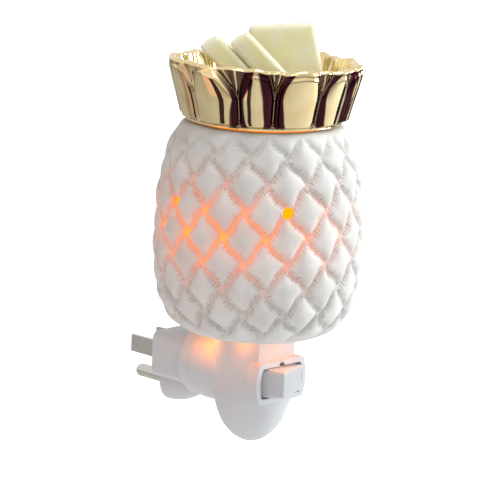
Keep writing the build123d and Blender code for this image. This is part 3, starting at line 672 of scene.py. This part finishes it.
def paint_glow(shade, crest, arc, arc_at_node, side):
    """Stores on each point how much of the bulb's light comes through, and how much painted shade its creases
    get.
    """
    x, y, z = coordinates(shade.data).T
    y = y - COLUMN_Y
    turn, radius = np.degrees(np.arctan2(y, x)), np.hypot(x, y)
    arc_here = np.interp(z, crest[:, 1], arc)
    u, v = quilt(turn, arc_here, arc_at_node)
    near_u, near_v = groove_distance(u, side), groove_distance(v, side)
    marks = stitches(u, v, side)
    glow = glow_at(turn, z, pillow_edge(near_u, near_v), marks)
    glow = glow * (1 + CROSSING_SHARE * bell(np.hypot(near_u, near_v), CROSSING_WIDTH))
    low, high = FOOT_LIT_HEIGHTS
    inside = radius < np.interp(z, crest[:, 1], crest[:, 0]) - LIT_DEPTH
    inside |= (z > SHADE_BOTTOM + low) & (z < SHADE_BOTTOM + high) & (radius < FOOT_LIT_RADIUS)
    store(shade, "glow", np.where(inside, GLOW_INSIDE, np.clip(glow, 0, 1)))
    # Painted shade: darker in the needle marks and along the grooves
    crease_shade = CREASE_SHADE_MARK_SHARE * marks + CREASE_SHADE_GROOVE_SHARE * bell(np.minimum(near_u, near_v), CREASE_SHADE_WIDTH)
    fade = smooth_step(*QUILT_FADE_LOW, arc_here) * (1 - smooth_step(*CREASE_SHADE_FADE_HIGH, z))
    store(shade, "crease_shade", np.where(inside, 0, np.clip(crease_shade, 0, 1)) * fade)


def make_shade():
    """The quilted shade: patterned outside, smooth inside, with vents, light holes and foot hole."""
    crest, arc = resample(SHADE_CREST, SHADE_ROW_STEP)
    turn = np.arange(SHADE_COLUMNS) * 360 / SHADE_COLUMNS
    arc_at_node = np.interp(NODE_HEIGHT, crest[:, 1], arc)
    turns, arcs = np.meshgrid(turn, arc)
    u, v = quilt(turns, arcs, arc_at_node)
    side = math.hypot(360 / DIAMONDS / 2 / 180 * math.pi * QUILT_RADIUS, HALF_PITCH)
    fade = window(QUILT_FADE_LOW, [arc_at_node + reach for reach in QUILT_FADE_HIGH], arcs)
    sink = (pillow_relief(u, v, side) - PILLOW_RISE) * fade
    tangent = np.gradient(crest, axis=0)
    tangent /= np.linalg.norm(tangent, axis=1)[:, None]
    radius = crest[:, 0][:, None] + tangent[:, 1][:, None] * sink
    height = crest[:, 1][:, None] - tangent[:, 0][:, None] * sink
    around = np.ones(SHADE_COLUMNS)[None, :]
    radius = np.vstack([radius] + [r * around for r, _ in SHADE_INSIDE])
    height = np.vstack([height] + [z * around for _, z in SHADE_INSIDE])
    shade = piece("quilted_shade", ring_points(radius, height, turn), ring_faces(len(radius), SHADE_COLUMNS),
                  "warmer", bisque, "ceramic_shade")
    cut_holes(shade)
    paint_glow(shade, crest, arc, arc_at_node, side)


def petal_relief(turn, height):
    """How far the petals stand out from the bowl, how far a point is from a gap, and the gap's fold."""
    shape = np.broadcast(turn, height).shape
    edge, fold = np.full(shape, np.inf), np.zeros(shape)
    to_mm = np.pi / 180 * (GAP_RADIUS + GAP_RADIUS_FLARE * height / DISH_HEIGHT)
    spread = np.maximum((height - GAP_BOTTOM) / (DISH_HEIGHT - GAP_BOTTOM), 0) ** GAP_OPENING
    foot = GAP_FOOT_WIDTH * np.clip(1 - height / GAP_FOOT_HEIGHT, 0, 1) ** GAP_FOOT_CURVE
    for foot_turn, left_turn, right_turn in GAPS:
        left = foot_turn + (left_turn - foot_turn) * spread - foot
        right = foot_turn + (right_turn - foot_turn) * spread + foot
        middle, half = (left + right) / 2, (right - left) / 2
        away = np.abs((turn - middle + 180) % 360 - 180)
        edge = np.minimum(edge, (away - half) * to_mm)
        share = np.clip(1 - away / np.maximum(half, GAP_LEAST), 0, 1)
        fold = np.maximum(fold, share * (half > GAP_LEAST))
    # A steep flank and then a slow swell; behind the gap a low fold
    front = bulge(edge, *PETAL_FLANK) + bulge(edge, *PETAL_SWELL)
    behind = FOLD_RISE * fold ** FOLD_CURVE * smooth_step(*FOLD_START, fold)
    return np.where(edge > 0, front, behind * np.clip(-edge / FOLD_BLEND, 0, 1)), edge, fold


def rib_wave(turn, height):
    """The faint ribs on the petals, as a wave from -1 to 1."""
    return np.sin(turn * RIB_PACE + RIB_BEND * np.sin(height * RIB_BEND_PACE))


def painted_dark_reflection(turn, height):
    """Where dark reflection is painted on the gold: on the flanks by a gap, in the gap's fold and along its
    ribs.
    """
    _, edge, fold = petal_relief(turn, height)
    around = np.radians(turn)
    width = by_hand(DARK_REFLECTION_WIDTH, DARK_REFLECTION_SWAY_ROUND, around * 5 + 0.8)
    width = by_hand(width, DARK_REFLECTION_SWAY_UP, height * 0.24 + around * 11)
    flank = window(DARK_REFLECTION_START, (DARK_REFLECTION_CORE_SHARE * width, width), edge)
    inner = (edge < 0) * smooth_step(*DARK_REFLECTION_FOLD_BANDS, np.abs(np.sin(fold * 4.2 + 0.6)))
    ribs = window(*DARK_REFLECTION_RIB_TURNS, turn) * smooth_step(*DARK_REFLECTION_RIB_BANDS, rib_wave(turn, height))
    dark_shares = np.clip(flank + DARK_REFLECTION_FOLD_SHARE * inner + DARK_REFLECTION_RIB_SHARE * ribs, 0, 1)
    return dark_shares * np.interp(turn, *zip(*DARK_REFLECTION_SHARES)) * smooth_step(*DARK_REFLECTION_FOOT, height)


def rim_height(turn):
    """The rim's height above the dish's foot: high on the petals, low beside the gaps."""
    _, edge, fold = petal_relief(turn, np.full_like(turn, DISH_HEIGHT))
    swell = RIM_SWELL * np.clip(edge / RIM_SWELL_WIDTH, 0, 1) ** RIM_SWELL_CURVE
    lift = RIM_LIFT * np.clip(np.cos(np.radians(turn - RIM_LIFT_TURN)), 0, 1) ** 2
    top = DISH_HEIGHT - DISH_LIP + lift + swell + RIM_FOLD * fold
    return by_hand(top, RIM_WAVER, np.radians(turn) * 7 + 1)


def petal_row(turn, top, share):
    """One row of the dish's side: radii and heights, from the foot at 0 to the lip at 1."""
    z = PETAL_FOOT + (top - DISH_LIP - PETAL_FOOT) * share
    relief, edge, _ = petal_relief(turn, z)
    bowl = DISH_FOOT + (DISH_RIM - DISH_FOOT) * (z / DISH_HEIGHT) ** DISH_CURVE - PETAL_RISE
    blend_in = smooth_step(*PETAL_START, z)
    ribs = RIB_RISE * rib_wave(turn, z) * window(*RIB_TURNS, turn) * smooth_step(*RIB_EDGE, edge)
    ease = 1 - PETAL_EASE * smooth_step(*PETAL_EASE_SHARES, share)
    return bowl + (relief * ease + ribs) * blend_in + PETAL_FOOT_FLARE * (1 - blend_in), z


def make_dish():
    """The gold dish: petals outside, a soft lip, a smooth bowl and the ring that drops into the shade."""
    turn = np.arange(DISH_COLUMNS) * 360 / DISH_COLUMNS - 180
    top = rim_height(turn)
    even = np.ones_like(turn)
    rows = [(r * even, z * even) for r, z in DISH_UNDERSIDE]
    rows += [petal_row(turn, top, share) for share in np.linspace(0, 1, PETAL_ROWS)]
    # The lip rolls over to the inside
    outer_r, outer_z = rows[-1]
    inner_r = outer_r - 2 * DISH_LIP - DISH_LIP_EXTRA
    middle_r, half_r = (outer_r + inner_r) / 2, (outer_r - inner_r) / 2
    for a in np.linspace(0, math.pi, LIP_ROWS + 1)[1:]:
        rows.append((middle_r + half_r * math.cos(a), outer_z + DISH_LIP * DISH_LIP_CROWN * math.sin(a)))
    # Inside, the petals fade into a round bowl with a soft corner
    inner_r, inner_z = rows[-1]
    mean_r = inner_r.mean()
    for share in np.linspace(0, 1, BOWL_SIDE_ROWS + 1)[1:]:
        r = mean_r + (BOWL_RADIUS - mean_r) * share + (inner_r - mean_r) * (1 - share) ** BOWL_SIDE_CURVE
        rows.append((r, inner_z + (BOWL_CORNER_TOP - inner_z) * share))
    for a in np.radians(np.linspace(0, 90, BOWL_CORNER_ROWS + 1)[1:]):
        rows.append(((BOWL_RADIUS - BOWL_CORNER * (1 - math.cos(a))) * even,
                     (BOWL_CORNER_TOP - BOWL_CORNER * math.sin(a)) * even))
    rows += [(r * even, z * even) for r, z in BOWL_FLOOR]
    radius = np.array([r for r, _ in rows])
    height = np.array([z for _, z in rows]) + DISH_BOTTOM
    dish = piece("petal_dish", ring_points(radius, height, turn), ring_faces(len(rows), DISH_COLUMNS),
                 "dish", lustre, "wax_dish")
    petals = slice(len(DISH_UNDERSIDE), len(DISH_UNDERSIDE) + PETAL_ROWS)
    # Painted dark reflection, on the petals' rows alone
    painted_reflection = np.zeros(radius.shape)
    painted_reflection[petals] = painted_dark_reflection(np.tile(turn, (PETAL_ROWS, 1)), height[petals] - DISH_BOTTOM)
    store(dish, "painted_reflection", painted_reflection)


def make_wax(name, node, centre, lean, size, draft, seed):
    """One poured block: drafted sides, round edges, and faces a little sunk where the wax shrank."""
    form = bmesh.new()
    bmesh.ops.create_cube(form, size=1.0)
    bmesh.ops.subdivide_edges(form, edges=form.edges, cuts=WAX_CUTS, use_grid_fill=True)
    half = Vector(size) / 2
    slope, taper = math.tan(math.radians(draft)), math.tan(math.radians(WAX_TAPER))
    rng = np.random.default_rng(seed)
    waves = [(Vector(rng.normal(size=3)) * WAX_WAVE_PACE, rng.uniform(0, 6.28)) for _ in range(WAX_WAVES)]
    for vertex in form.verts:
        p = Vector([2 * c * h for c, h in zip(vertex.co, half)])
        core = Vector([max(-h + WAX_ROUND, min(h - WAX_ROUND, c)) for c, h in zip(p, half)])
        out = p - core
        if out.length > WAX_ROUND:
            p = core + out.normalized() * WAX_ROUND
        swell = WAX_RIPPLE * (sum(math.sin(w.dot(p) + s) for w, s in waves) - WAX_WAVES)
        if out.length > 1e-6:
            p = p + out.normalized() * swell
        sunk = max(0, 1 - (p.x / half.x) ** 2) * max(0, 1 - (p.z / half.z) ** 2)
        narrow = taper * (p.y + half.y)
        p.x *= (half.x - slope * (p.z + half.z) - narrow) / half.x
        p.z *= (half.z - narrow) / half.z
        p.y -= math.copysign(WAX_SHRINK * sunk, p.y)
        vertex.co = p
    turned = Matrix.Rotation(math.radians(WAX_TURN), 4, "Z")
    leaned = Matrix.Rotation(math.radians(lean), 4, "Y")
    place = Matrix.Translation((0, COLUMN_Y, DISH_BOTTOM)) @ turned @ Matrix.Translation(centre) @ leaned
    points = [place @ v.co for v in form.verts]
    faces = [[v.index for v in f.verts] for f in form.faces]
    form.free()
    piece(name, points, faces, "wax", wax, node)


make_shade()
make_dish()
for seed, block in enumerate(WAX_PIECES, WAX_FIRST_SEED):
    make_wax(*block, seed)

# Smooth shading on the carried-over nodes
for node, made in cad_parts.items():
    made.data.polygons.foreach_set("use_smooth", [True] * len(made.data.polygons))


# Studio
def stage_sheet(name, corners, material):
    """One flat sheet of the studio, which is no part of the object."""
    mesh = bpy.data.meshes.new(name)
    mesh.from_pydata([tuple(Vector(p) * MM) for p in corners], [], [(0, 1, 2, 3)])
    mesh.materials.append(material)
    made = bpy.data.objects.new(name, mesh)
    bpy.context.scene.collection.objects.link(made)
    return made


def make_floor():
    """Pale paper sweep: plain white to the camera, and it sends soft light up at the object."""
    paper, shader = new_material("paper sweep, matt white", "f4f4f4", 0.9, Emission_Color=linear("ffffff"))
    grain(paper, shader, 3.0, 0.02)
    rays = add(paper, "ShaderNodeLightPath")
    paper.node_tree.links.new(rays.outputs["Is Camera Ray"], shader.inputs["Emission Strength"])
    ways = ((-1, -1), (1, -1), (1, 1), (-1, 1))
    stage_sheet("paper_floor", [(x * FLOOR_HALF, y * FLOOR_HALF, FLOOR_LEVEL) for x, y in ways], paper)


def make_flag(name, turn, spread):
    """A dark card beside the object that only mirrors see, for the deep tones in the gold."""
    middle, half = math.radians(turn), FLAG_REACH * math.tan(math.radians(spread))
    out = Vector((math.cos(middle), math.sin(middle), 0))
    side = Vector((-out.y, out.x, 0))
    centre = Vector((0, COLUMN_Y, 0)) + out * FLAG_REACH
    edges = ((-half, FLAG_LOW), (half, FLAG_LOW), (half, FLAG_HIGH), (-half, FLAG_HIGH))
    made = stage_sheet(name, [centre + side * w + Vector((0, 0, z)) for w, z in edges], flag_felt)
    made.visible_camera = made.visible_diffuse = made.visible_shadow = made.visible_transmission = False


def make_world():
    """White where camera, mirrors and glass look, and a soft grey sky for the diffuse light."""
    world = bpy.data.worlds.new("studio")
    bpy.context.scene.world = world
    world.use_nodes = True
    background = world.node_tree.nodes["Background"]
    rays = add(world, "ShaderNodeLightPath")
    seen = add(world, "ShaderNodeMath", {"operation": "MAXIMUM"}, _0=rays.outputs["Is Camera Ray"],
               _1=rays.outputs["Is Glossy Ray"])
    seen = add(world, "ShaderNodeMath", {"operation": "MAXIMUM"}, _0=seen.outputs["Value"],
               _1=rays.outputs["Is Transmission Ray"])
    strength = add(world, "ShaderNodeMapRange", {"To Min": SKY_STRENGTH, "To Max": 1.0},
                   Value=seen.outputs["Value"])
    background.inputs["Color"].default_value = linear("ffffff")
    world.node_tree.links.new(strength.outputs["Result"], background.inputs["Strength"])


def lamp(name, place, target, size, power, colour):
    """A square soft box that points at a place; both are in millimetres."""
    data = bpy.data.lights.new(name, "AREA")
    data.size, data.energy, data.color = size * MM, power, linear(colour)[:3]
    made = bpy.data.objects.new(name, data)
    made.location = Vector(place) * MM
    made.rotation_euler = (Vector(target) - Vector(place)).to_track_quat("-Z", "Y").to_euler()
    bpy.context.scene.collection.objects.link(made)
    return made


def make_vent_glow():
    """The bulb's light that leaves the shade's floor vents and warms the base below."""
    for vent, power in enumerate(VENT_GLOW_POWERS):
        x, y = vent_place(vent)
        made = lamp("vent_glow", (x, y, SHADE_BOTTOM - VENT_GLOW_DROP), (x, y, 0), VENT_GLOW_SIZE, power,
                    VENT_GLOW_COLOUR)
        made.visible_camera = False
        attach(made, "warmer")


def make_camera():
    """The camera, with the photograph's lens and viewing angle."""
    data = bpy.data.cameras.new("camera")
    data.lens, data.sensor_width = CAMERA_LENS, CAMERA_SENSOR
    data.clip_start, data.clip_end = [reach * MM for reach in CAMERA_CLIP]
    made = bpy.data.objects.new("camera", data)
    right, up, ahead = Vector(CAMERA_RIGHT), Vector(CAMERA_UP), Vector(CAMERA_AHEAD)
    turn = Matrix((right, up, -ahead)).transposed()
    made.matrix_world = Matrix.Translation(Vector(CAMERA_PLACE) * MM) @ turn.to_4x4()
    bpy.context.scene.collection.objects.link(made)
    bpy.context.scene.camera = made


make_world()
make_floor()
make_camera()
for soft_box in SOFT_BOXES:
    lamp(*soft_box)
for flag in FLAGS:
    make_flag(*flag)
make_vent_glow()

bpy.context.scene.view_settings.view_transform = "Standard"
